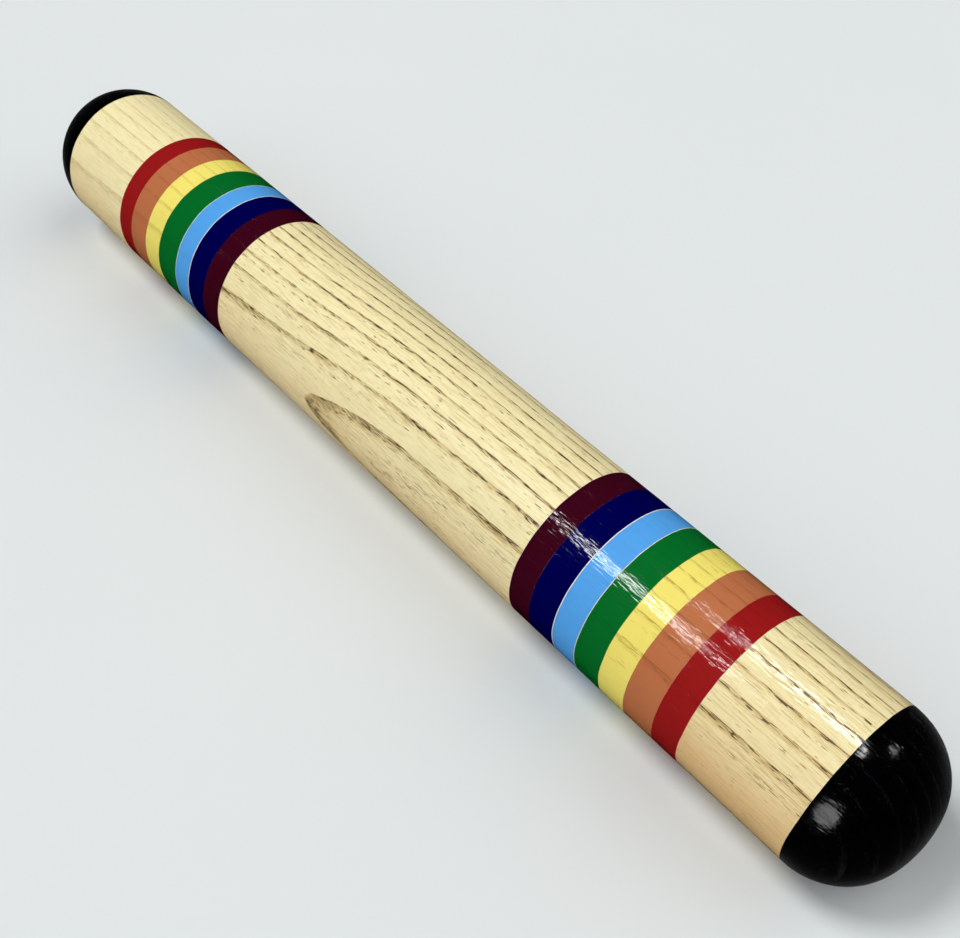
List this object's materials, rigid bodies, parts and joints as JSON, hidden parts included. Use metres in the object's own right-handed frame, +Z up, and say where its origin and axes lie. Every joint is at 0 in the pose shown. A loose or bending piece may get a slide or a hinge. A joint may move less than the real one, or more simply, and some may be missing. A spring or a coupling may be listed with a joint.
{
  "type": "rainstick",
  "caption": "Straight wooden rainstick with black domed ends, two groups of coloured paint bands, and beads that run between nails inside it.",
  "frame": {"origin": "under the middle of the stick, on the surface that it lies on", "axes": "+X along the stick to the right-hand cap, +Z up"},
  "size_m": [0.4586, 0.06, 0.06],
  "materials": {
    "ash": "clear gloss lacquer over open-pored ash",
    "black_lacquer": "gloss black lacquer over wood",
    "red_paint": "gloss red paint film",
    "orange_paint": "gloss orange paint film",
    "yellow_paint": "gloss yellow paint film",
    "green_paint": "gloss green paint film",
    "light_blue_paint": "gloss light blue paint film",
    "navy_paint": "gloss navy paint film",
    "maroon_paint": "gloss maroon paint film",
    "liner_paper": "wound kraft paper",
    "nail_steel": "bright wire nail",
    "bead_glass": "clear pale glass"
  },
  "bodies": {
    "stick": {"tube": "ash", "end_cap_left": "black_lacquer", "end_cap_right": "black_lacquer", "red_band_left": "red_paint", "orange_band_left": "orange_paint", "yellow_band_left": "yellow_paint", "green_band_left": "green_paint", "light_blue_band_left": "light_blue_paint", "navy_band_left": "navy_paint", "maroon_band_left": "maroon_paint", "red_band_right": "red_paint", "orange_band_right": "orange_paint", "yellow_band_right": "yellow_paint", "green_band_right": "green_paint", "light_blue_band_right": "light_blue_paint", "navy_band_right": "navy_paint", "maroon_band_right": "maroon_paint", "liner": "liner_paper", "nails": "nail_steel"},
    "left_beads": {"beads_left_lane": "bead_glass"},
    "middle_beads": {"beads_middle_lane": "bead_glass"},
    "right_beads": {"beads_right_lane": "bead_glass"}
  },
  "joints": [
    {"name": "left_beads_run", "type": "slide", "parent": "stick", "child": "left_beads", "axis": [1, 0, 0], "range_m": [0, 0.312]},
    {"name": "middle_beads_run", "type": "slide", "parent": "stick", "child": "middle_beads", "axis": [1, 0, 0], "range_m": [0, 0.275]},
    {"name": "right_beads_run", "type": "slide", "parent": "stick", "child": "right_beads", "axis": [1, 0, 0], "range_m": [0, 0.312]}
  ]
}
